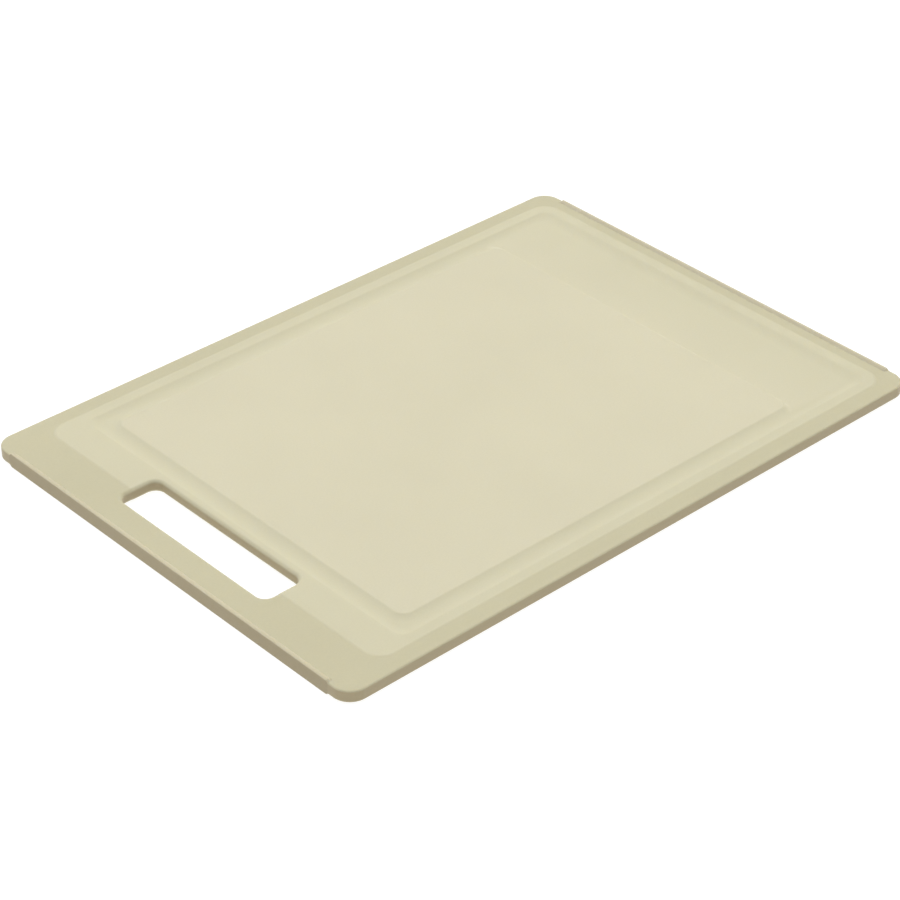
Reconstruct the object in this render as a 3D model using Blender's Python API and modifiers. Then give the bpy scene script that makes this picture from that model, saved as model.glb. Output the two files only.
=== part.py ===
"""Moulded kitchen cutting board with a juice groove, a collecting well and a hand slot.

The board is one plastic moulding. A soft grip strip is keyed into each short end and stands
proud of both faces, so the board rests on the strips whichever way up it lies.

Frame: X along the length with the hand slot at -X, Y across the width, Z up. The origin is
the centre of the footprint, on the surface that the board rests on. Sizes are in metres.
"""
import math

import bmesh
import bpy
from mathutils import Matrix, Vector

# Whole board
LENGTH = 0.360
WIDTH = 0.2528
CORNER_RADIUS = 0.0095
EDGE_ROUND = 0.001

# Heights, from the resting surface up
GRIP_PROUD = 0.0009
BORDER_THICKNESS = 0.0061
FIELD_STEP = 0.0002
BORDER_BOTTOM = GRIP_PROUD
BORDER_TOP = BORDER_BOTTOM + BORDER_THICKNESS
FIELD_BOTTOM = BORDER_BOTTOM - FIELD_STEP
FIELD_TOP = BORDER_TOP + FIELD_STEP
TOTAL_HEIGHT = BORDER_TOP + GRIP_PROUD

# Textured field: a low step inside the smooth border, on both faces
FIELD_SIDE_MARGIN = 0.0100
FIELD_FAR_MARGIN = 0.0096
FIELD_HANDLE_MARGIN = 0.0256
FIELD_RADIUS = 0.0085
FIELD_STEP_RUN = 0.0018

# Juice groove and collecting well, cut into the top field
GROOVE_DEPTH = 0.0009
GROOVE_SIDE_MARGIN = 0.0150
GROOVE_FAR_MARGIN = 0.0146
GROOVE_HANDLE_MARGIN = 0.0427
GROOVE_WIDTH = 0.0104
GROOVE_RADIUS = 0.0065
GROOVE_FLANK = 0.0050
WELL_END_FLANK = 0.0078

# Raised cutting panel inside the groove
PANEL_LENGTH = 0.2475
PANEL_RADIUS = 0.0055
PANEL_WELL_FLANK = 0.0008

# Hand slot
SLOT_MARGIN = 0.0165
SLOT_WIDTH = 0.0221
SLOT_LENGTH = 0.1040
SLOT_RADIUS = 0.0050
SLOT_ROUND = 0.0018

# Grip strips and the dovetail key that holds each one
GRIP_LENGTH = 0.2268
GRIP_WIDTH = 0.0028
GRIP_LAND = 0.0014
GRIP_ROUND = 0.0004
GRIP_END_SLOPE = 0.0014
KEY_DEPTH = 0.0032
KEY_NECK = 0.0014
KEY_ROOT = 0.0028
CLEARANCE = 0.0003

# How finely curves are divided, and how far a cutter passes the face that it cuts
CORNER_STEPS = 8
EDGE_STEPS = 3
FLANK_STATIONS = (0.25, 0.5, 0.75)
SLOT_ROUND_ANGLES = (0, 22, 44, 66)
OVERRUN = 0.001

BODY_COLOUR = (0.62, 0.57, 0.41, 1.0)
GRIP_COLOUR = (0.56, 0.51, 0.37, 1.0)


def clear_scene():
    """Remove every object that the file starts with."""
    for item in list(bpy.data.objects):
        bpy.data.objects.remove(item, do_unlink=True)


def new_collection(name):
    """Collection of the given name, linked to the scene."""
    collection = bpy.data.collections.new(name)
    bpy.context.scene.collection.children.link(collection)
    return collection


def plastic(name, colour, roughness):
    """Plain non-metallic Principled material."""
    material = bpy.data.materials.new(name)
    material.use_nodes = True
    shader = material.node_tree.nodes["Principled BSDF"]
    shader.inputs["Base Color"].default_value = colour
    shader.inputs["Roughness"].default_value = roughness
    shader.inputs["Metallic"].default_value = 0.0
    return material


def add_object(name, mesh, collection):
    """Object for a finished mesh, in its collection, with its round faces shaded smooth."""
    mesh.shade_smooth()
    mesh.set_sharp_from_angle(angle=math.radians(30))
    item = bpy.data.objects.new(name, mesh)
    collection.objects.link(item)
    return item


def as_cutter(item):
    """Show an object as a wire guide that is left out of renders."""
    item.hide_render = True
    item.display_type = "WIRE"
    return item


def add_boolean(item, name, operation, other):
    """Exact Boolean modifier that joins or cuts an object with another."""
    modifier = item.modifiers.new(name, "BOOLEAN")
    modifier.operation = operation
    modifier.solver = "EXACT"
    modifier.object = other


def rounded_rectangle(x_low, x_high, y_half, radius):
    """Outline that is symmetric about Y = 0, anticlockwise, with round corners."""
    centres = (
        (x_high - radius, y_half - radius),
        (x_low + radius, y_half - radius),
        (x_low + radius, radius - y_half),
        (x_high - radius, radius - y_half),
    )
    outline = []
    for quarter, (centre_x, centre_y) in enumerate(centres):
        for step in range(CORNER_STEPS + 1):
            angle = math.pi / 2 * (quarter + step / CORNER_STEPS)
            x = centre_x + radius * math.cos(angle)
            y = centre_y + radius * math.sin(angle)
            outline.append((x, y))
    return outline


def loft(name, sections, collection):
    """Closed solid through (outline, height) sections that are given from the bottom up."""
    build = bmesh.new()
    rings = []
    for outline, height in sections:
        rings.append([build.verts.new((x, y, height)) for x, y in outline])
    build.faces.new(reversed(rings[0]))
    build.faces.new(rings[-1])
    for lower, upper in zip(rings, rings[1:]):
        for index in range(len(lower)):
            after = (index + 1) % len(lower)
            build.faces.new((lower[index], lower[after], upper[after], upper[index]))
    mesh = bpy.data.meshes.new(name)
    build.to_mesh(mesh)
    build.free()
    return add_object(name, mesh, collection)


def board_blank(collection):
    """Slab at the border's thickness, with round corners and rounded edges."""
    build = bmesh.new()
    size = Matrix.Diagonal((LENGTH, WIDTH, BORDER_THICKNESS, 1.0))
    middle = Matrix.Translation((0.0, 0.0, (BORDER_BOTTOM + BORDER_TOP) / 2))
    bmesh.ops.create_cube(build, size=1.0, matrix=middle @ size)
    upright = []
    for edge in build.edges:
        start, end = edge.verts
        if abs(start.co.z - end.co.z) > BORDER_THICKNESS / 2:
            upright.append(edge)
    bmesh.ops.bevel(
        build,
        geom=upright,
        offset=CORNER_RADIUS,
        offset_type="OFFSET",
        segments=CORNER_STEPS,
        profile=0.5,
        affect="EDGES",
    )
    mesh = bpy.data.meshes.new("board_body")
    build.to_mesh(mesh)
    build.free()
    blank = add_object("board_body", mesh, collection)
    rounding = blank.modifiers.new("edge_round", "BEVEL")
    rounding.width = EDGE_ROUND
    rounding.segments = EDGE_STEPS
    rounding.limit_method = "ANGLE"
    rounding.angle_limit = math.radians(60)
    return blank


def field_slab(collection):
    """Slab that raises the textured field a little above the border on both faces."""
    slope = FIELD_STEP_RUN / FIELD_STEP
    inner_depth = FIELD_STEP / 2

    def outline(grow):
        return rounded_rectangle(
            -LENGTH / 2 + FIELD_HANDLE_MARGIN - grow,
            LENGTH / 2 - FIELD_FAR_MARGIN + grow,
            WIDTH / 2 - FIELD_SIDE_MARGIN + grow,
            FIELD_RADIUS + grow,
        )

    foot = outline(slope * (FIELD_STEP + inner_depth))
    sections = (
        (outline(0.0), FIELD_BOTTOM),
        (foot, BORDER_BOTTOM + inner_depth),
        (foot, BORDER_TOP - inner_depth),
        (outline(0.0), FIELD_TOP),
    )
    return as_cutter(loft("field_slab", sections, collection))


def flank_depth(station):
    """Depth of the groove's hollow flank, from 0 at its lip to the full depth at its foot."""
    return GROOVE_DEPTH * (1.0 - (1.0 - station) ** 2)


def groove_pocket(collection):
    """Outer shape of the groove and the well: a shallow tray with hollow flanks."""

    def outline(station):
        flank = GROOVE_FLANK * station
        return rounded_rectangle(
            -LENGTH / 2 + GROOVE_HANDLE_MARGIN + flank,
            LENGTH / 2 - GROOVE_FAR_MARGIN - WELL_END_FLANK * station,
            WIDTH / 2 - GROOVE_SIDE_MARGIN - flank,
            GROOVE_RADIUS - flank / 2,
        )

    first = FLANK_STATIONS[0]
    sections = [(outline(1.0), FIELD_TOP - GROOVE_DEPTH)]
    for station in reversed(FLANK_STATIONS):
        sections.append((outline(station), FIELD_TOP - flank_depth(station)))
    sections.append((outline(-first), FIELD_TOP + flank_depth(first)))
    return as_cutter(loft("groove_pocket", sections, collection))


def panel_island(collection):
    """Raised cutting panel that stays standing inside the groove pocket."""
    panel_start = -LENGTH / 2 + GROOVE_HANDLE_MARGIN + GROOVE_WIDTH
    panel_half = WIDTH / 2 - GROOVE_SIDE_MARGIN - GROOVE_WIDTH

    def outline(station):
        flank = GROOVE_FLANK * station
        return rounded_rectangle(
            panel_start - flank,
            panel_start + PANEL_LENGTH + PANEL_WELL_FLANK * station,
            panel_half + flank,
            PANEL_RADIUS + flank / 2,
        )

    first = FLANK_STATIONS[0]
    last = FLANK_STATIONS[-1]
    below_floor = 2 * GROOVE_DEPTH - flank_depth(last)
    above_field = flank_depth(first)
    sections = [(outline(2.0 - last), FIELD_TOP - below_floor)]
    for station in reversed(FLANK_STATIONS):
        sections.append((outline(station), FIELD_TOP - flank_depth(station)))
    sections.append((outline(-first), FIELD_TOP + above_field))
    sections.append((outline(-first), FIELD_TOP + above_field + OVERRUN))
    return as_cutter(loft("panel_island", sections, collection))


def slot_cutter(collection):
    """Hand slot, flared to a rounded rim where it leaves each face."""
    start = -LENGTH / 2 + SLOT_MARGIN

    def outline(grow):
        return rounded_rectangle(
            start - grow,
            start + SLOT_WIDTH + grow,
            SLOT_LENGTH / 2 + grow,
            SLOT_RADIUS + grow,
        )

    rims = []
    for angle in SLOT_ROUND_ANGLES:
        grow = SLOT_ROUND * (1.0 - math.cos(math.radians(angle)))
        rims.append((grow, SLOT_ROUND * (1.0 - math.sin(math.radians(angle)))))
    rims.append((SLOT_ROUND, 0.0))
    rims.append((SLOT_ROUND + OVERRUN, -OVERRUN / 4))
    sections = [(outline(grow), FIELD_BOTTOM + depth) for grow, depth in reversed(rims)]
    sections += [(outline(grow), FIELD_TOP - depth) for grow, depth in rims]
    return as_cutter(loft("slot_cutter", sections, collection))


def grip_profile():
    """Cross-section of a grip in X and Z: a proud band with a dovetail key on its inner side."""
    outer = LENGTH / 2
    inner = outer - GRIP_WIDTH
    land = outer - GRIP_LAND
    middle = TOTAL_HEIGHT / 2
    points = [
        (inner, BORDER_BOTTOM),
        (land, 0.0),
    ]
    rounds = (
        (outer - GRIP_ROUND, GRIP_ROUND, -90),
        (outer - GRIP_ROUND, TOTAL_HEIGHT - GRIP_ROUND, 0),
    )
    for centre_x, centre_z, start in rounds:
        for step in range(EDGE_STEPS + 1):
            angle = math.radians(start + 90 * step / EDGE_STEPS)
            x = centre_x + GRIP_ROUND * math.cos(angle)
            z = centre_z + GRIP_ROUND * math.sin(angle)
            points.append((x, z))
    points += [
        (land, TOTAL_HEIGHT),
        (inner, BORDER_TOP),
        (inner, middle + KEY_NECK / 2),
        (inner - KEY_DEPTH, middle + KEY_ROOT / 2),
        (inner - KEY_DEPTH, middle - KEY_ROOT / 2),
        (inner, middle - KEY_NECK / 2),
    ]
    return points


def recess_profile():
    """Cross-section of the rebate and dovetail channel that take a grip with clearance."""
    wall = LENGTH / 2 - GRIP_WIDTH - CLEARANCE
    outside = LENGTH / 2 + OVERRUN
    middle = TOTAL_HEIGHT / 2
    neck = KEY_NECK / 2 + CLEARANCE
    root = KEY_ROOT / 2 + CLEARANCE
    return [
        (wall, -OVERRUN),
        (outside, -OVERRUN),
        (outside, TOTAL_HEIGHT + OVERRUN),
        (wall, TOTAL_HEIGHT + OVERRUN),
        (wall, middle + neck),
        (wall - KEY_DEPTH, middle + root),
        (wall - KEY_DEPTH, middle - root),
        (wall, middle - neck),
    ]


def extrusion(name, profile, length, collection):
    """Solid with an X and Z profile, extruded along Y and centred on Y = 0."""
    curve = bpy.data.curves.new(name, "CURVE")
    curve.dimensions = "2D"
    curve.fill_mode = "BOTH"
    curve.extrude = length / 2
    spline = curve.splines.new("POLY")
    spline.points.add(len(profile) - 1)
    for point, (x, z) in zip(spline.points, profile):
        point.co = (x, z, 0.0, 1.0)
    spline.use_cyclic_u = True
    outline = bpy.data.objects.new(name, curve)
    collection.objects.link(outline)
    outline.rotation_euler = (math.pi / 2, 0.0, 0.0)
    bpy.context.view_layer.update()

    depsgraph = bpy.context.evaluated_depsgraph_get()
    mesh = bpy.data.meshes.new_from_object(outline.evaluated_get(depsgraph))
    mesh.transform(outline.matrix_world)
    bpy.data.objects.remove(outline, do_unlink=True)
    build = bmesh.new()
    build.from_mesh(mesh)
    bmesh.ops.remove_doubles(build, verts=build.verts, dist=1e-7)
    bmesh.ops.recalc_face_normals(build, faces=build.faces)
    build.to_mesh(mesh)
    build.free()
    mesh.name = name
    return add_object(name, mesh, collection)


def slope_grip_ends(grip):
    """Trim the proud bands at both ends of a grip down to the face of the board."""
    build = bmesh.new()
    build.from_mesh(grip.data)
    for side in (-1, 1):
        for height, upward in ((BORDER_TOP, 1), (BORDER_BOTTOM, -1)):
            bmesh.ops.bisect_plane(
                build,
                geom=build.verts[:] + build.edges[:] + build.faces[:],
                dist=1e-7,
                plane_co=Vector((0.0, side * GRIP_LENGTH / 2, height)),
                plane_no=Vector((0.0, side * GRIP_PROUD, upward * GRIP_END_SLOPE)),
                clear_outer=True,
            )
            open_edges = [edge for edge in build.edges if edge.is_boundary]
            bmesh.ops.holes_fill(build, edges=open_edges, sides=0)
    bmesh.ops.recalc_face_normals(build, faces=build.faces)
    build.to_mesh(grip.data)
    build.free()


def make_grip(name, turn, collection):
    """Grip strip, turned about Z to its own end of the board."""
    grip = extrusion(name, grip_profile(), GRIP_LENGTH, collection)
    slope_grip_ends(grip)
    grip.rotation_euler = (0.0, 0.0, turn)
    grip.data.materials.append(plastic(name, GRIP_COLOUR, 0.55))
    return grip


def make_body(parts, cutters):
    """Board moulding: the blank, the raised field, the groove, the slot and the end recesses."""
    body = board_blank(parts)
    pocket = groove_pocket(cutters)
    add_boolean(pocket, "leave_panel", "DIFFERENCE", panel_island(cutters))
    add_boolean(body, "raise_field", "UNION", field_slab(cutters))
    add_boolean(body, "cut_groove", "DIFFERENCE", pocket)
    add_boolean(body, "cut_slot", "DIFFERENCE", slot_cutter(cutters))
    for name, turn in (("far_end_recess", 0.0), ("handle_end_recess", math.pi)):
        recess_length = GRIP_LENGTH + 2 * CLEARANCE
        recess = as_cutter(extrusion(name, recess_profile(), recess_length, cutters))
        recess.rotation_euler = (0.0, 0.0, turn)
        add_boolean(body, "cut_" + name, "DIFFERENCE", recess)
    body.data.materials.append(plastic("board_body", BODY_COLOUR, 0.5))
    return body


def main():
    clear_scene()
    parts = new_collection("cutting_board")
    cutters = new_collection("cutters")
    make_body(parts, cutters)
    make_grip("far_end_grip", 0.0, parts)
    make_grip("handle_end_grip", math.pi, parts)


main()
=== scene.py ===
import math

import bmesh
import bpy
from mathutils import Matrix, Vector
from mathutils.geometry import delaunay_2d_cdt


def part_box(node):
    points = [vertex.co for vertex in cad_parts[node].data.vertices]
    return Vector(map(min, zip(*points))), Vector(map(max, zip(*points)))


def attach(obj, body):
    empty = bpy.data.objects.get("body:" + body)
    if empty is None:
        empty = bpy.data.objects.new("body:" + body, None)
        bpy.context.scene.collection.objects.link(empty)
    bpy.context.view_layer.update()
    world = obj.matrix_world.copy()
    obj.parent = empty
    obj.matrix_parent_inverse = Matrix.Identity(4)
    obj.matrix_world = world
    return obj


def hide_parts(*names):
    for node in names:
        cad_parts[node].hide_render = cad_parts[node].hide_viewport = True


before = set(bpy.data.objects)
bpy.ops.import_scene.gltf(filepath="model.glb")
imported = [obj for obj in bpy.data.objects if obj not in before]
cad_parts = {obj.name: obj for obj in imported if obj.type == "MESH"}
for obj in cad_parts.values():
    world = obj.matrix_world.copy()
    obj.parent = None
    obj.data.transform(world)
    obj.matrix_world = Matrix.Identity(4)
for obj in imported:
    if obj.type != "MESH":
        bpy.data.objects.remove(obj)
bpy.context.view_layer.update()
BODY_LOW, BODY_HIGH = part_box("board_body")
GRIP_LOW, GRIP_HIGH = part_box("far_end_grip")

# ---------------------------------------------------------------- sizes, in metres
MM = 0.001
HALF_LENGTH = GRIP_HIGH.x
HALF_WIDTH = BODY_HIGH.y
FIELD_STEP = 0.2 * MM
FIELD_TOP = BODY_HIGH.z
FIELD_BOTTOM = BODY_LOW.z
BORDER_TOP = FIELD_TOP - FIELD_STEP
BORDER_BOTTOM = FIELD_BOTTOM + FIELD_STEP
MIDDLE = (BORDER_TOP + BORDER_BOTTOM) / 2

CORNER_RADIUS = 9.5 * MM
EDGE_ROUND = 0.8 * MM
FIELD_STEP_RUN = 1.8 * MM
FIELD_SIDE_MARGIN = 10.0 * MM
FIELD_FAR_MARGIN = 9.6 * MM
FIELD_HANDLE_MARGIN = 25.6 * MM
FIELD_RADIUS = 8.5 * MM

# A groove wall has stations: 0 is its lip and 1 its foot, and the lip is rounded
# as far as GROOVE_LIP or PANEL_LIP on both sides of 0
GROOVE_DEPTH = 0.9 * MM
GROOVE_SIDE_MARGIN = 15.0 * MM
GROOVE_FAR_MARGIN = 14.6 * MM
GROOVE_HANDLE_MARGIN = 42.7 * MM
GROOVE_WIDTH = 10.4 * MM
GROOVE_RADIUS = 6.5 * MM
GROOVE_FLANK = 5.0 * MM
GROOVE_LIP = 0.18
# The groove's lip is rounded this many times farther back on the handle's side
HANDLE_LIP_STRETCH = 1.5
WELL_END_FLANK = 7.8 * MM
PANEL_LENGTH = 247.5 * MM
PANEL_RADIUS = 5.5 * MM
PANEL_WELL_FLANK = 0.8 * MM
PANEL_LIP = 0.14
# The panel's lip is rounded this many times farther back beside the well
WELL_LIP_STRETCH = 12.0
PANEL_START = -HALF_LENGTH + GROOVE_HANDLE_MARGIN + GROOVE_WIDTH
PANEL_END = PANEL_START + PANEL_LENGTH
PANEL_HALF_WIDTH = HALF_WIDTH - GROOVE_SIDE_MARGIN - GROOVE_WIDTH

SLOT_MARGIN = 16.5 * MM
SLOT_WIDTH = 22.1 * MM
SLOT_LENGTH = 104.0 * MM
SLOT_RADIUS = 5.0 * MM
SLOT_ROUND = 1.8 * MM

GRIP_HALF_LENGTH = GRIP_HIGH.y
GRIP_WIDTH = 2.8 * MM
GRIP_LAND = 1.4 * MM
GRIP_PROUD = GRIP_HIGH.z - BORDER_TOP
GRIP_ROUND = 0.55 * MM
GRIP_CREST_ROUND = 0.8 * MM
GRIP_END_SLOPE = 1.4 * MM
# Share of its proud height that a grip still has at its two ends
GRIP_END_LIFT = 0.02
KEY_DEPTH = HALF_LENGTH - GRIP_WIDTH - GRIP_LOW.x
KEY_NECK = 1.4 * MM
KEY_ROOT = 2.8 * MM
SEAM = 0.008 * MM
SEAM_ROUND = 0.02 * MM

# Rounded rectangles in plan: lowest x, highest x, half of the width in y, corner radius
FIELD_BOX = (
    -HALF_LENGTH + FIELD_HANDLE_MARGIN,
    HALF_LENGTH - FIELD_FAR_MARGIN,
    HALF_WIDTH - FIELD_SIDE_MARGIN,
    FIELD_RADIUS,
)
SLOT_BOX = (
    -HALF_LENGTH + SLOT_MARGIN,
    -HALF_LENGTH + SLOT_MARGIN + SLOT_WIDTH,
    SLOT_LENGTH / 2,
    SLOT_RADIUS,
)
BOARD_BOX = (-HALF_LENGTH, HALF_LENGTH, HALF_WIDTH, CORNER_RADIUS)
INNER_BOX = (-HALF_LENGTH + GRIP_WIDTH, HALF_LENGTH - GRIP_WIDTH, HALF_WIDTH, CORNER_RADIUS)
LIP_BOX = (
    -HALF_LENGTH + GROOVE_HANDLE_MARGIN - GROOVE_FLANK * GROOVE_LIP * HANDLE_LIP_STRETCH,
    HALF_LENGTH - GROOVE_FAR_MARGIN + WELL_END_FLANK * GROOVE_LIP,
    HALF_WIDTH - GROOVE_SIDE_MARGIN + GROOVE_FLANK * GROOVE_LIP,
    GROOVE_RADIUS + GROOVE_FLANK * GROOVE_LIP / 2,
)

# ---------------------------------------------------------------- mesh density
CORNER_STEPS = 14
LONG_STEPS = 40
SHORT_STEPS = 28
SLOT_END_STEPS = 6
SLOT_SIDE_STEPS = 20
ROUND_STEPS = 5
CREST_STEPS = 3
LIP_STEPS = 6
FLANK_STEPS = 8
GRID = 7.0 * MM
GRID_CLEAR = 2.6 * MM
# Distances that count as the same place, and as lying on the slot's wall
SAME_PLACE = 0.002 * MM
ON_SLOT_WALL = 0.1 * MM
# The triangulation works in millimetres and merges points closer than this
MERGE_DISTANCE = 1e-5
SHARP_ANGLE = 50
# Distances from the wall, as shares of the radius, of the lines along a rounded edge
ROUND_SHARES = [1.0 - math.cos(math.pi / 2 * step / ROUND_STEPS) for step in range(ROUND_STEPS + 1)]
# Lines along the field's step, and stations along a grip's sloping end
FIELD_SHARES = (0.0, 0.2, 0.4, 0.6, 0.8, 1.0)
GRIP_END_SHARES = (0.0, 0.08, 0.2, 0.35, 0.5, 0.65, 0.8, 0.92, 1.0)

# ---------------------------------------------------------------- colours and finish
# Finish and painted shade of a point: shares of textured field, of cutting panel and of the side
# wall's painted shade
FIELD = (1.0, 0.0, 0.0)
PANEL = (1.0, 1.0, 0.0)
FINISH_AND_SHADE_NAMES = ("field", "panel", "side")
# Share of a rounded edge's drop where the side wall's painted shade starts
SIDE_SHADE_START = 0.35
# Share of the panel's lighter finish on the well's floor next to the panel. It fades to the far end,
# so the floor darkens there: painted shade in place of a sloping floor, which isn't modelled
PAINTED_WELL_SHADE_FADE = 0.65

WHITE = (1.0, 1.0, 1.0, 1.0)
BORDER_COLOUR = (0.589, 0.549, 0.374)
FIELD_COLOUR = (0.642, 0.604, 0.429)
PANEL_COLOUR = (0.671, 0.628, 0.457)
# Darker, browner colour of the walls and rounded edges: painted shade, which the glowing floor would
# otherwise light too brightly
SIDE_PAINTED_SHADE_COLOUR = (0.430, 0.360, 0.219)
GRIP_COLOUR = (0.61, 0.555, 0.39)
# Darker, browner colour of the grips' sides: painted shade, as on the board's walls
GRIP_SIDE_PAINTED_SHADE_COLOUR = (0.404, 0.338, 0.206)
UNEVENNESS = 0.015
BORDER_ROUGHNESS = 0.42
FIELD_ROUGHNESS = 0.60
GRIP_ROUGHNESS = 0.50
ROUGHNESS_CHANGE = 0.03
GRIP_ROUGHNESS_CHANGE = 0.04
SPECULAR = 0.4
SUBSURFACE = 0.3
SUBSURFACE_REACH = 0.8 * MM
SUBSURFACE_TINT = (1.0, 0.85, 0.55)
GRAIN_SIZE = 0.30 * MM
GRAIN_DEPTH = 0.010 * MM
BORDER_GRAIN = 0.3
FIELD_GRAIN = 1.0
GRIP_GRAIN_SIZE = 0.20 * MM
GRIP_GRAIN = 0.5
GRAIN_DETAIL = 3.0
GRAIN_ROUGHNESS = 0.6
SWELL_DEPTH = 0.2 * MM
SWELL_STRENGTH = 0.15
# Scales of the clouds, swells and specks, in waves per metre
CLOUD_SCALE = 14.0
SWELL_SCALE = 60.0
GRIP_SWELL_SCALE = 80.0
SPECK_SCALE = 1100.0
CLOUD_DETAIL = 3.0
SWELL_DETAIL = 2.0
SPECK_DETAIL = 2.0
# Noise lies between these two numbers nearly everywhere
NOISE_LOW = 0.3
NOISE_HIGH = 0.7

# ---------------------------------------------------------------- studio
FLOOR_SIZE = 6.0
FLOOR_GLOW = 0.86
FLOOR_GREY = 0.25
SKY_STRENGTH = 0.408
# Lights: name, place, side length, power, and whether glossy surfaces reflect it
LIGHTS = (
    ("far_key", (5.0, 0.4, 3.0), 2.4, 168.0, False),
    ("left_key", (-0.4, 4.4, 4.4), 2.4, 132.0, True),
    ("overhead", (-0.8, -0.8, 3.6), 1.4, 30.5, True),
)
CAMERA_PLACE = (-0.7668, -0.8176, 0.7476)
CAMERA_RIGHT = (0.7355, -0.6775, 0.0073)
CAMERA_FORWARD = (0.5631, 0.6052, -0.5627)
CAMERA_LENS = 113.0
CAMERA_SENSOR = 36.0


# ---------------------------------------------------------------- outlines and profiles
def spread(start, end, steps):
    """Evenly spaced numbers from start to end, both included."""
    return [start + (end - start) * step / steps for step in range(steps + 1)]


def ease(share):
    """Smooth step from 0 to 1."""
    share = min(max(share, 0.0), 1.0)
    return share * share * (3.0 - 2.0 * share)


def arc_points(centre_x, centre_y, radius, start, end, steps):
    """Points of an arc, with angles in degrees."""
    points = []
    for angle in spread(math.radians(start), math.radians(end), steps):
        points.append((centre_x + radius * math.cos(angle), centre_y + radius * math.sin(angle)))
    return points


def rounded_rectangle(x_low, x_high, y_half, radius, long_steps, short_steps):
    """Closed outline, anticlockwise, with round corners and evenly divided sides."""
    centres = (
        (x_high - radius, y_half - radius, long_steps),
        (x_low + radius, y_half - radius, short_steps),
        (x_low + radius, radius - y_half, long_steps),
        (x_high - radius, radius - y_half, short_steps),
    )
    corners = []
    for quarter, (centre_x, centre_y, _) in enumerate(centres):
        start = 90 * quarter
        corners.append(arc_points(centre_x, centre_y, radius, start, start + 90, CORNER_STEPS))
    outline = []
    for quarter, corner in enumerate(corners):
        outline += corner
        start_x, start_y = corner[-1]
        end_x, end_y = corners[(quarter + 1) % 4][0]
        steps = centres[quarter][2]
        for share in spread(0.0, 1.0, steps)[1:-1]:
            x = start_x + (end_x - start_x) * share
            y = start_y + (end_y - start_y) * share
            outline.append((x, y))
    return outline


def grown(box, amount):
    """A rounded rectangle moved outwards by an amount on every side."""
    x_low, x_high, y_half, radius = box
    return (x_low - amount, x_high + amount, y_half + amount, radius + amount)


def distance_outside(x, y, x_low, x_high, y_half, radius):
    """Signed distance from a rounded rectangle: positive outside it."""
    across = abs(x - (x_low + x_high) / 2) - (x_high - x_low) / 2 + radius
    along = abs(y) - y_half + radius
    outside = math.hypot(max(across, 0.0), max(along, 0.0))
    return outside + min(max(across, along), 0.0) - radius


def field_rise(x, y):
    """Height of the field above the border at a point."""
    return FIELD_STEP * ease(1.0 - distance_outside(x, y, *FIELD_BOX) / FIELD_STEP_RUN)


def round_drop(gap, radius):
    """How far a rounded edge has dropped at a distance from the wall."""
    if gap >= radius:
        return 0.0
    inward = radius - max(gap, 0.0)
    return radius - math.sqrt(max(radius * radius - inward * inward, 0.0))


def slot_drop(x, y):
    """How far the slot's rounded rim has dropped at a point.

    A point on one of the rim's lines takes that line's exact distance."""
    gap = distance_outside(x, y, *SLOT_BOX)
    for share in ROUND_SHARES:
        if abs(gap - SLOT_ROUND * share) < SAME_PLACE:
            gap = SLOT_ROUND * share
    return round_drop(gap, SLOT_ROUND)


def groove_wall(station):
    """Outline of the groove's outer wall at a station."""
    flank = GROOVE_FLANK * station
    handle_flank = flank * HANDLE_LIP_STRETCH if station < 0.0 else flank
    return rounded_rectangle(
        -HALF_LENGTH + GROOVE_HANDLE_MARGIN + handle_flank,
        HALF_LENGTH - GROOVE_FAR_MARGIN - WELL_END_FLANK * station,
        HALF_WIDTH - GROOVE_SIDE_MARGIN - flank,
        GROOVE_RADIUS - flank / 2,
        LONG_STEPS,
        SHORT_STEPS,
    )


def panel_wall(station):
    """Outline of the cutting panel's wall at a station.

    It is set out from the lip, by less at the well's end than along the groove."""
    well_flank = PANEL_WELL_FLANK * (WELL_LIP_STRETCH if station < 0.0 else 1.0)
    lip = rounded_rectangle(
        PANEL_START, PANEL_END, PANEL_HALF_WIDTH, PANEL_RADIUS, LONG_STEPS, SHORT_STEPS
    )
    wall = []
    for x, y in lip:
        centre_x = min(max(x, PANEL_START + PANEL_RADIUS), PANEL_END - PANEL_RADIUS)
        centre_y = min(max(y, PANEL_RADIUS - PANEL_HALF_WIDTH), PANEL_HALF_WIDTH - PANEL_RADIUS)
        outward_x = (x - centre_x) / PANEL_RADIUS
        outward_y = (y - centre_y) / PANEL_RADIUS
        well_share = max(outward_x, 0.0) ** 2
        offset = station * (GROOVE_FLANK + (well_flank - GROOVE_FLANK) * well_share)
        wall.append((x + outward_x * offset, y + outward_y * offset))
    return wall


def wall_stations(lip):
    """Stations of the lines along a groove wall, from outside its rounded lip to its foot."""
    return spread(-lip, lip, LIP_STEPS) + spread(lip, 1.0, FLANK_STEPS)[1:]


def wall_depth(station, lip):
    """Depth of a hollow groove wall, with a rounding as far as lip on both sides of the edge."""
    if station < lip:
        rise = (station + lip) / (2 * lip)
        return GROOVE_DEPTH * (1.0 - (1.0 - lip) ** 2) * rise * rise
    return GROOVE_DEPTH * (1.0 - (1.0 - station) ** 2)


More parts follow.
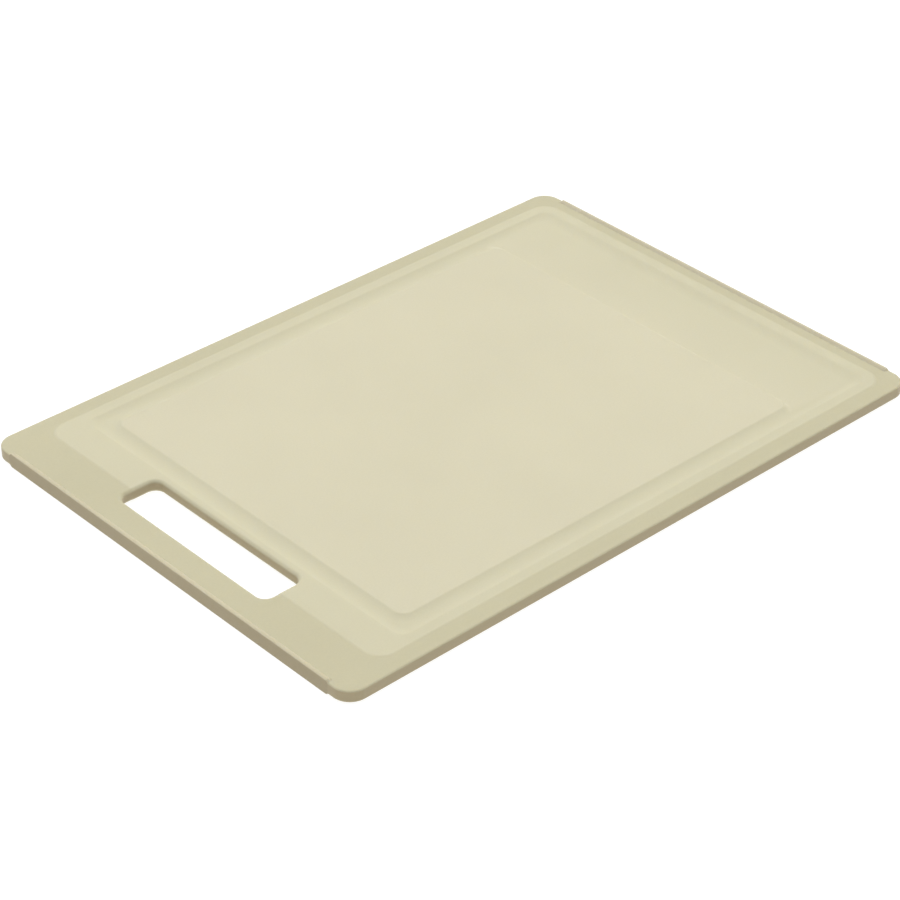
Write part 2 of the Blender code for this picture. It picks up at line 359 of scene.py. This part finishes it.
def body_outline(share):
    """Outline of the body a share of the way in from its wall to the end of its edge rounding.

    Each end is notched for its grip. Gives (x, y, drop) with the drop of the rounded edge."""
    inset = EDGE_ROUND * share
    drop = round_drop(inset, EDGE_ROUND)
    seam_inset = SEAM_ROUND * share
    seam_drop = round_drop(seam_inset, SEAM_ROUND)
    notch_y = GRIP_HALF_LENGTH + SEAM + seam_inset
    notch_x = HALF_LENGTH - GRIP_WIDTH - SEAM - seam_inset
    centre_x = HALF_LENGTH - CORNER_RADIUS
    centre_y = HALF_WIDTH - CORNER_RADIUS
    corner = [(HALF_LENGTH - inset, notch_y, drop)]
    for x, y in arc_points(centre_x, centre_y, CORNER_RADIUS - inset, 0, 90, CORNER_STEPS):
        corner.append((x, y, drop))
    side = []
    for x in spread(centre_x, -centre_x, LONG_STEPS)[1:-1]:
        side.append((x, HALF_WIDTH - inset, drop))
    far_corner = [(-x, y, fall) for x, y, fall in reversed(corner)]
    notch = []
    for y in spread(notch_y, -notch_y, SHORT_STEPS):
        notch.append((-notch_x, y, seam_drop))
    half = corner + side + far_corner + notch
    return half + [(-x, -y, fall) for x, y, fall in half]


# ---------------------------------------------------------------- mesh building
class Builder:
    """Mesh built from rings of points."""

    def __init__(self):
        self.mesh = bmesh.new()
        layers = self.mesh.verts.layers.float
        self.layers = [layers.new(name) for name in FINISH_AND_SHADE_NAMES]

    # A finish holds the shares of field and of panel, and the share of the side wall's painted shade
    def point(self, place, finish):
        vertex = self.mesh.verts.new(place)
        for layer, share in zip(self.layers, finish):
            vertex[layer] = share
        return vertex

    def ring(self, points, finish):
        return [self.point(place, finish) for place in points]

    def face(self, corners):
        self.mesh.faces.new(corners).smooth = True

    def bridge(self, one, other):
        """Quads between two closed rings of the same length."""
        for index in range(len(one)):
            after = (index + 1) % len(one)
            self.face((one[index], one[after], other[after], other[index]))

    def sharpen(self):
        """Break the shading at the edges that are not rounded."""
        for edge in self.mesh.edges:
            edge.smooth = edge.calc_face_angle(0.0) < math.radians(SHARP_ANGLE)

    def finish(self, name, material):
        """Turn the mesh into an object in the scene."""
        bmesh.ops.recalc_face_normals(self.mesh, faces=self.mesh.faces)
        self.sharpen()
        data = bpy.data.meshes.new(name)
        self.mesh.to_mesh(data)
        self.mesh.free()
        data.materials.append(material)
        item = bpy.data.objects.new(name, data)
        bpy.context.scene.collection.objects.link(item)
        shade = item.modifiers.new("flat_faces_stay_flat", "WEIGHTED_NORMAL")
        shade.mode = "FACE_AREA"
        shade.keep_sharp = True
        return item


def side_shade_share(drop):
    """Share of the side wall's painted shade on a rounded edge, at a drop given as a share of its
    radius.
    """
    return ease((drop - SIDE_SHADE_START) / (1.0 - SIDE_SHADE_START))


def side_painted_shade(share):
    """Finish of a line along the rounded edge, a share of the way in from the wall: only the side
    wall's painted shade.
    """
    return (0.0, 0.0, side_shade_share(round_drop(share, 1.0)))


def grid_points(keep):
    """Evenly spaced plan points that a test accepts."""
    points = []
    columns = round(2 * HALF_LENGTH / GRID)
    rows = round(2 * HALF_WIDTH / GRID)
    for x in spread(-HALF_LENGTH, HALF_LENGTH, columns):
        for y in spread(-HALF_WIDTH, HALF_WIDTH, rows):
            if keep(x, y):
                points.append((x, y))
    return points


def triangulate(loops, extra):
    """Plan points and triangles between closed outlines, with extra points in them.

    The third list gives each plan point's number on the outlines, or infinity."""
    points = []
    edges = []
    for loop in loops:
        first = len(points)
        points += [Vector(point) / MM for point in loop]
        for index in range(len(loop)):
            edges.append((first + index, first + (index + 1) % len(loop)))
    on_outlines = len(points)
    points += [Vector(point) / MM for point in extra]
    found, _, triangles, origins, _, _ = delaunay_2d_cdt(points, edges, [], 0, MERGE_DISTANCE)
    plan = [(point.x * MM, point.y * MM) for point in found]
    numbers = []
    for origin in origins:
        number = min(origin, default=math.inf)
        numbers.append(number if number < on_outlines else math.inf)
    return plan, triangles, numbers


def fill(build, ring, height, finish):
    """Flat, evenly triangulated face inside a closed ring."""
    loop = [(vertex.co.x, vertex.co.y) for vertex in ring]
    x_low = min(x for x, _ in loop)
    x_high = max(x for x, _ in loop)
    y_half = max(y for _, y in loop)

    def well_inside(x, y):
        return distance_outside(x, y, x_low, x_high, y_half, PANEL_RADIUS) < -GRID_CLEAR

    plan, triangles, numbers = triangulate([loop], grid_points(well_inside))
    made = []
    for (x, y), number in zip(plan, numbers):
        made.append(ring[number] if number < math.inf else build.point((x, y, height), finish))
    for triangle in triangles:
        build.face([made[corner] for corner in triangle])


# ---------------------------------------------------------------- board
def edge_rings(build):
    """Rings of the board's edge, from the top's flat border round to the bottom's.

    The middle ones make the channels in the end walls that hold the grips' keys."""
    rings = []
    for share in reversed(ROUND_SHARES):
        ring = [(x, y, BORDER_TOP - drop) for x, y, drop in body_outline(share)]
        rings.append(build.ring(ring, side_painted_shade(share)))
    neck = KEY_NECK / 2 + SEAM
    root = KEY_ROOT / 2 + SEAM
    notch_x = HALF_LENGTH - GRIP_WIDTH - SEAM
    wall_rise = (BORDER_TOP - MIDDLE - EDGE_ROUND) / 2
    # Height and depth in the notch, and height on the plain wall
    channel = (
        (neck, 0.0, wall_rise),
        (root, KEY_DEPTH, wall_rise / 3),
        (-root, KEY_DEPTH, -wall_rise / 3),
        (-neck, 0.0, -wall_rise),
    )
    for notch_rise, depth, rise in channel:
        ring = []
        for x, y, _ in body_outline(0.0):
            if abs(abs(x) - notch_x) < SAME_PLACE:
                ring.append((math.copysign(abs(x) - depth, x), y, MIDDLE + notch_rise))
            else:
                ring.append((x, y, MIDDLE + rise))
        rings.append(build.ring(ring, side_painted_shade(0.0)))
    for share in ROUND_SHARES:
        ring = [(x, y, BORDER_BOTTOM + drop) for x, y, drop in body_outline(share)]
        rings.append(build.ring(ring, side_painted_shade(share)))
    return rings


def plan_outlines():
    """Outlines on the flat faces: border, groove lip, field step and slot rim."""
    outlines = [[(x, y) for x, y, _ in body_outline(1.0)], groove_wall(-GROOVE_LIP)]
    for share in FIELD_SHARES:
        box = grown(FIELD_BOX, FIELD_STEP_RUN * (1.0 - share))
        outlines.append(rounded_rectangle(*box, LONG_STEPS, SHORT_STEPS))
    for share in ROUND_SHARES:
        box = grown(SLOT_BOX, SLOT_ROUND * share)
        outlines.append(rounded_rectangle(*box, SLOT_END_STEPS, SLOT_SIDE_STEPS))
    return outlines


def clear_of_outlines(x, y):
    """Whether a grid point of the flat faces lies well away from their outlines."""
    return (
        distance_outside(x, y, *INNER_BOX) < -GRID_CLEAR - EDGE_ROUND
        and distance_outside(x, y, *LIP_BOX) > GRID_CLEAR
        and distance_outside(x, y, *SLOT_BOX) > GRID_CLEAR + SLOT_ROUND
        and abs(distance_outside(x, y, *FIELD_BOX)) > GRID_CLEAR
    )


def on_flat_face(x, y):
    """Whether a point lies on the board, outside the grips' notches, the groove and the slot."""
    notch_x = HALF_LENGTH - GRIP_WIDTH - SEAM - SEAM_ROUND
    in_notch = abs(x) > notch_x and abs(y) < GRIP_HALF_LENGTH
    in_board = distance_outside(x, y, *BOARD_BOX) < 0.0
    outside_lip = distance_outside(x, y, *LIP_BOX) > 0.0
    outside_slot = distance_outside(x, y, *SLOT_BOX) > 0.0
    return in_board and not in_notch and outside_lip and outside_slot


def flat_triangles(plan, triangles):
    """The triangles that lie on the flat faces."""
    kept = []
    for triangle in triangles:
        x = sum(plan[corner][0] for corner in triangle) / 3
        y = sum(plan[corner][1] for corner in triangle) / 3
        if on_flat_face(x, y):
            kept.append(triangle)
    return kept


def slot_walls(build, plan, triangles, top, bottom):
    """Walls that join the two faces along the slot's outline."""
    counts = {}
    for triangle in triangles:
        for index in range(3):
            pair = tuple(sorted((triangle[index], triangle[(index + 1) % 3])))
            counts[pair] = counts.get(pair, 0) + 1
    for (one, other), count in sorted(counts.items()):
        middle_x = (plan[one][0] + plan[other][0]) / 2
        middle_y = (plan[one][1] + plan[other][1]) / 2
        gap = abs(distance_outside(middle_x, middle_y, *SLOT_BOX))
        if count == 1 and gap < ON_SLOT_WALL:
            build.face((top[one], top[other], bottom[other], bottom[one]))


def flat_faces(build, top_edge, bottom_edge):
    """Border, field step, band and slot rim of both faces, and the slot's walls.

    Gives the ring of points along the groove's outer lip, and the plain ring below it."""
    outlines = plan_outlines()
    edge_count = len(outlines[0])
    lip_count = len(outlines[1])
    plan, triangles, numbers = triangulate(outlines, grid_points(clear_of_outlines))
    triangles = flat_triangles(plan, triangles)
    top = {}
    bottom = {}
    top_lip = [None] * lip_count
    bottom_lip = [None] * lip_count
    for index in sorted({corner for triangle in triangles for corner in triangle}):
        number = numbers[index]
        if number < edge_count:
            top[index] = top_edge[number]
            bottom[index] = bottom_edge[number]
            continue
        x, y = plan[index]
        rise = field_rise(x, y)
        drop = slot_drop(x, y)
        # The slot's rounded rim turns toward the side colour as it drops: painted shade
        finish = (rise / FIELD_STEP, 0.0, side_shade_share(drop / SLOT_ROUND))
        top[index] = build.point((x, y, BORDER_TOP + rise - drop), finish)
        bottom[index] = build.point((x, y, BORDER_BOTTOM - rise + drop), finish)
        if number < edge_count + lip_count:
            top_lip[number - edge_count] = top[index]
            bottom_lip[number - edge_count] = bottom[index]
    for triangle in triangles:
        build.face([top[corner] for corner in triangle])
        build.face([bottom[corner] for corner in triangle])
    slot_walls(build, plan, triangles, top, bottom)
    return top_lip, bottom_lip


def groove_and_panel(build, lip_ring):
    """Groove, well and cutting panel inside the ring round the groove."""
    previous = lip_ring
    for station in wall_stations(GROOVE_LIP)[1:]:
        height = FIELD_TOP - wall_depth(station, GROOVE_LIP)
        ring = build.ring([(x, y, height) for x, y in groove_wall(station)], FIELD)
        build.bridge(previous, ring)
        previous = ring
    for station in reversed(wall_stations(PANEL_LIP)):
        height = FIELD_TOP - wall_depth(station, PANEL_LIP)
        panel_tone = ease((PANEL_LIP - station) / (2 * PANEL_LIP))
        ring = []
        for x, y in panel_wall(station):
            # The panel's lighter share fades out across the well's floor toward the far end: painted
            # shade in place of a sloping floor
            painted_well_shade = PAINTED_WELL_SHADE_FADE * ease(1.0 + (x - PANEL_END) / PANEL_RADIUS)
            ring.append(build.point((x, y, height), (1.0, max(panel_tone, painted_well_shade), 0.0)))
        build.bridge(previous, ring)
        previous = ring
    fill(build, previous, FIELD_TOP, PANEL)


def make_body(material):
    """Board moulding: notched outline, rounded edges, field step, groove, well, panel and slot."""
    build = Builder()
    rings = edge_rings(build)
    for one, other in zip(rings, rings[1:]):
        build.bridge(one, other)
    top_lip, bottom_lip = flat_faces(build, rings[0], rings[-1])
    groove_and_panel(build, top_lip)
    fill(build, bottom_lip, FIELD_BOTTOM, FIELD)
    return build.finish("board_moulding", material)


# ---------------------------------------------------------------- grips
def grip_section(lift):
    """Cross-section of the far grip as (x, z, share of the side wall's painted shade).

    lift is the share of its proud height that it has there."""
    inner = HALF_LENGTH - GRIP_WIDTH
    land = HALF_LENGTH - GRIP_LAND
    crest = GRIP_PROUD * lift
    top = BORDER_TOP + crest
    slope = math.atan2(crest, land - inner)
    crest_round = GRIP_CREST_ROUND * lift
    crest_x = land + crest_round * math.tan(slope / 2)
    lean = 90 + math.degrees(slope)
    plain = [
        (inner - KEY_DEPTH, MIDDLE + KEY_ROOT / 2),
        (inner, MIDDLE + KEY_NECK / 2),
        (inner, BORDER_TOP - SEAM_ROUND),
    ]
    plain += arc_points(crest_x, top - crest_round, crest_round, lean, 90, CREST_STEPS)
    upper = [(x, z, 0.0) for x, z in plain]
    rim_x = HALF_LENGTH - GRIP_ROUND
    for x, z in arc_points(rim_x, top - GRIP_ROUND, GRIP_ROUND, 90, 0, ROUND_STEPS):
        upper.append((x, z, side_shade_share((top - z) / GRIP_ROUND)))
    upper.append((HALF_LENGTH, (MIDDLE + top) / 2, 1.0))
    lower = [(x, 2 * MIDDLE - z, share) for x, z, share in reversed(upper)]
    return upper + lower


def make_grip(name, side, material):
    """Soft strip along one end. side is 1 for the far end and -1 for the handle's end."""
    build = Builder()
    stations = []
    for share in GRIP_END_SHARES:
        y = GRIP_HALF_LENGTH - GRIP_END_SLOPE * share
        stations.append((y, max(ease(share), GRIP_END_LIFT)))
    inner_y = stations[-1][0]
    middle = [(y, 1.0) for y in spread(inner_y, -inner_y, SHORT_STEPS)[1:-1]]
    mirrored = [(-y, lift) for y, lift in reversed(stations)]
    rings = []
    for y, lift in stations + middle + mirrored:
        ring = []
        for x, z, share in grip_section(lift):
            ring.append(build.point((side * x, y, z), (0.0, 0.0, share)))
        rings.append(ring)
    for one, other in zip(rings, rings[1:]):
        build.bridge(one, other)
    build.face(rings[0])
    build.face(rings[-1])
    return build.finish(name, material)


# ---------------------------------------------------------------- materials
class Nodes:
    """Small helper that adds and links shader nodes."""

    def __init__(self, name):
        self.material = bpy.data.materials.new(name)
        self.material.use_nodes = True
        self.tree = self.material.node_tree
        self.shader = self.tree.nodes["Principled BSDF"]

    def add(self, kind, **values):
        node = self.tree.nodes.new(kind)
        for key, value in values.items():
            setattr(node, key, value)
        return node

    def link(self, source, target):
        self.tree.links.new(source, target)

    def noise(self, vector, scale, detail, roughness=0.5):
        node = self.add("ShaderNodeTexNoise")
        node.inputs["Scale"].default_value = scale
        node.inputs["Detail"].default_value = detail
        node.inputs["Roughness"].default_value = roughness
        self.link(vector, node.inputs["Vector"])
        return node.outputs["Fac"]

    def map_noise(self, value, middle, change):
        """Noise as a number that varies round the middle by the change."""
        node = self.add("ShaderNodeMapRange")
        node.inputs["From Min"].default_value = NOISE_LOW
        node.inputs["From Max"].default_value = NOISE_HIGH
        node.inputs["To Min"].default_value = middle - change
        node.inputs["To Max"].default_value = middle + change
        self.link(value, node.inputs["Value"])
        return node.outputs["Result"]

    def bump(self, height, strength, distance):
        """Bump node. Its Normal input and its Strength can still be linked."""
        node = self.add("ShaderNodeBump")
        node.inputs["Strength"].default_value = strength
        node.inputs["Distance"].default_value = distance
        self.link(height, node.inputs["Height"])
        return node

    def share(self, name):
        """A finish share of the mesh as a number from 0 to 1."""
        return self.add("ShaderNodeAttribute", attribute_name=name).outputs["Fac"]

    def mix_number(self, factor, low, high):
        node = self.add("ShaderNodeMapRange")
        node.inputs["To Min"].default_value = low
        node.inputs["To Max"].default_value = high
        self.link(factor, node.inputs["Value"])
        return node.outputs["Result"]

    def mix_colour(self, factor, first, second, blend="MIX"):
        node = self.add("ShaderNodeMix", data_type="RGBA", blend_type=blend)
        for socket, value in (("A", first), ("B", second)):
            if isinstance(value, tuple):
                node.inputs[socket].default_value = (*value, 1.0)
            else:
                self.link(value, node.inputs[socket])
        if isinstance(factor, float):
            node.inputs["Factor"].default_value = factor
        else:
            self.link(factor, node.inputs["Factor"])
        return node.outputs["Result"]

    def grey(self, level):
        node = self.add("ShaderNodeCombineColor")
        for channel in ("Red", "Green", "Blue"):
            self.link(level, node.inputs[channel])
        return node.outputs["Color"]

    def sum(self, one, other):
        node = self.add("ShaderNodeMath", operation="ADD")
        self.link(one, node.inputs[0])
        self.link(other, node.inputs[1])
        return node.outputs["Value"]


def uneven(nodes, base, place):
    """Base colour with faint clouds and a faint fine speckle."""
    cloud = nodes.map_noise(nodes.noise(place, CLOUD_SCALE, CLOUD_DETAIL), 1.0, UNEVENNESS)
    speck = nodes.map_noise(nodes.noise(place, SPECK_SCALE, SPECK_DETAIL), 1.0, UNEVENNESS)
    clouded = nodes.mix_colour(1.0, base, nodes.grey(cloud), "MULTIPLY")
    return nodes.mix_colour(1.0, clouded, nodes.grey(speck), "MULTIPLY")


def set_plastic(shader):
    """Constant values of a slightly translucent plastic."""
    shader.inputs["Specular IOR Level"].default_value = SPECULAR
    shader.inputs["Subsurface Weight"].default_value = SUBSURFACE
    shader.inputs["Subsurface Radius"].default_value = SUBSURFACE_TINT
    shader.inputs["Subsurface Scale"].default_value = SUBSURFACE_REACH


def board_plastic():
    """Moulded plastic: satin border, matt textured field, lighter panel, and side walls painted
    darker and browner as shade.
    """
    nodes = Nodes("board_plastic")
    place = nodes.add("ShaderNodeTexCoord").outputs["Object"]
    field = nodes.share("field")
    panel = nodes.share("panel")
    side = nodes.share("side")

    base = nodes.mix_colour(field, BORDER_COLOUR, FIELD_COLOUR)
    # The panel share also carries the painted shade that darkens the well's floor toward the far end
    base = nodes.mix_colour(panel, base, PANEL_COLOUR)
    # Walls, rounded edges and the slot's rim take the darker side colour: painted shade
    base = nodes.mix_colour(side, base, SIDE_PAINTED_SHADE_COLOUR)
    nodes.link(uneven(nodes, base, place), nodes.shader.inputs["Base Color"])

    swell = nodes.noise(place, SWELL_SCALE, SWELL_DETAIL)
    roughness = nodes.sum(
        nodes.mix_number(field, BORDER_ROUGHNESS, FIELD_ROUGHNESS),
        nodes.map_noise(swell, 0.0, ROUGHNESS_CHANGE),
    )
    nodes.link(roughness, nodes.shader.inputs["Roughness"])

    grain = nodes.noise(place, 1.0 / GRAIN_SIZE, GRAIN_DETAIL, GRAIN_ROUGHNESS)
    swelled = nodes.bump(swell, SWELL_STRENGTH, SWELL_DEPTH)
    textured = nodes.bump(grain, FIELD_GRAIN, GRAIN_DEPTH)
    strength = nodes.mix_number(field, BORDER_GRAIN, FIELD_GRAIN)
    nodes.link(swelled.outputs["Normal"], textured.inputs["Normal"])
    nodes.link(strength, textured.inputs["Strength"])
    nodes.link(textured.outputs["Normal"], nodes.shader.inputs["Normal"])
    set_plastic(nodes.shader)
    return nodes.material


def grip_rubber():
    """Soft grip: satin, with a finer grain than the board, and sides painted darker and browner as
    shade.
    """
    nodes = Nodes("grip_rubber")
    place = nodes.add("ShaderNodeTexCoord").outputs["Object"]
    # The grip's rounded sides take the darker side colour: painted shade
    base = nodes.mix_colour(nodes.share("side"), GRIP_COLOUR, GRIP_SIDE_PAINTED_SHADE_COLOUR)
    nodes.link(uneven(nodes, base, place), nodes.shader.inputs["Base Color"])
    swell = nodes.noise(place, GRIP_SWELL_SCALE, SWELL_DETAIL)
    roughness = nodes.map_noise(swell, GRIP_ROUGHNESS, GRIP_ROUGHNESS_CHANGE)
    nodes.link(roughness, nodes.shader.inputs["Roughness"])
    grain = nodes.noise(place, 1.0 / GRIP_GRAIN_SIZE, GRAIN_DETAIL, GRAIN_ROUGHNESS)
    textured = nodes.bump(grain, GRIP_GRAIN, GRAIN_DEPTH)
    nodes.link(textured.outputs["Normal"], nodes.shader.inputs["Normal"])
    set_plastic(nodes.shader)
    return nodes.material


def floor_material():
    """Plain pale floor, clear when seen from underneath."""
    nodes = Nodes("floor")
    nodes.shader.inputs["Base Color"].default_value = (FLOOR_GREY, FLOOR_GREY, FLOOR_GREY, 1.0)
    nodes.shader.inputs["Roughness"].default_value = 1.0
    nodes.shader.inputs["Specular IOR Level"].default_value = 0.0
    nodes.shader.inputs["Emission Color"].default_value = WHITE
    nodes.shader.inputs["Emission Strength"].default_value = FLOOR_GLOW
    clear = nodes.add("ShaderNodeBsdfTransparent")
    underneath = nodes.add("ShaderNodeNewGeometry").outputs["Backfacing"]
    mix = nodes.add("ShaderNodeMixShader")
    nodes.link(underneath, mix.inputs["Fac"])
    nodes.link(nodes.shader.outputs["BSDF"], mix.inputs[1])
    nodes.link(clear.outputs["BSDF"], mix.inputs[2])
    nodes.link(mix.outputs["Shader"], nodes.tree.nodes["Material Output"].inputs["Surface"])
    return nodes.material


# ---------------------------------------------------------------- floor, lights and camera
def make_floor():
    """Large flat floor."""
    build = bmesh.new()
    bmesh.ops.create_grid(build, x_segments=2, y_segments=2, size=FLOOR_SIZE)
    data = bpy.data.meshes.new("floor")
    build.to_mesh(data)
    build.free()
    data.materials.append(floor_material())
    floor = bpy.data.objects.new("floor", data)
    bpy.context.scene.collection.objects.link(floor)


def make_light(name, place, size, power, sheen):
    """Soft square light, aimed at the board's middle. Without sheen glossy surfaces don't show it."""
    data = bpy.data.lights.new(name, "AREA")
    data.shape = "SQUARE"
    data.size = size
    data.energy = power
    light = bpy.data.objects.new(name, data)
    light.location = place
    light.visible_glossy = sheen
    light.rotation_euler = (-Vector(place)).to_track_quat("-Z", "Y").to_euler()
    bpy.context.scene.collection.objects.link(light)


def make_sky():
    """Even light from everywhere."""
    world = bpy.data.worlds.new("studio")
    world.use_nodes = True
    background = world.node_tree.nodes["Background"]
    background.inputs["Color"].default_value = WHITE
    background.inputs["Strength"].default_value = SKY_STRENGTH
    bpy.context.scene.world = world


def make_camera():
    """Camera at the photograph's viewing angle."""
    right = Vector(CAMERA_RIGHT).normalized()
    forward = Vector(CAMERA_FORWARD).normalized()
    up = right.cross(forward).normalized()
    right = forward.cross(up)
    turn = Matrix((right, up, -forward)).transposed()
    data = bpy.data.cameras.new("camera")
    data.lens = CAMERA_LENS
    data.sensor_width = CAMERA_SENSOR
    camera = bpy.data.objects.new("camera", data)
    camera.matrix_world = Matrix.Translation(CAMERA_PLACE) @ turn.to_4x4()
    bpy.context.scene.collection.objects.link(camera)
    bpy.context.scene.camera = camera


# ---------------------------------------------------------------- the scene
body = make_body(board_plastic())
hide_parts("board_body")
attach(body, "root")
grip_material = grip_rubber()
for node, side in (("far_end_grip", 1), ("handle_end_grip", -1)):
    strip = make_grip(node.replace("grip", "strip"), side, grip_material)
    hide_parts(node)
    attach(strip, "root")

make_floor()
make_sky()
for light in LIGHTS:
    make_light(*light)
make_camera()
bpy.context.scene.view_settings.view_transform = "Standard"
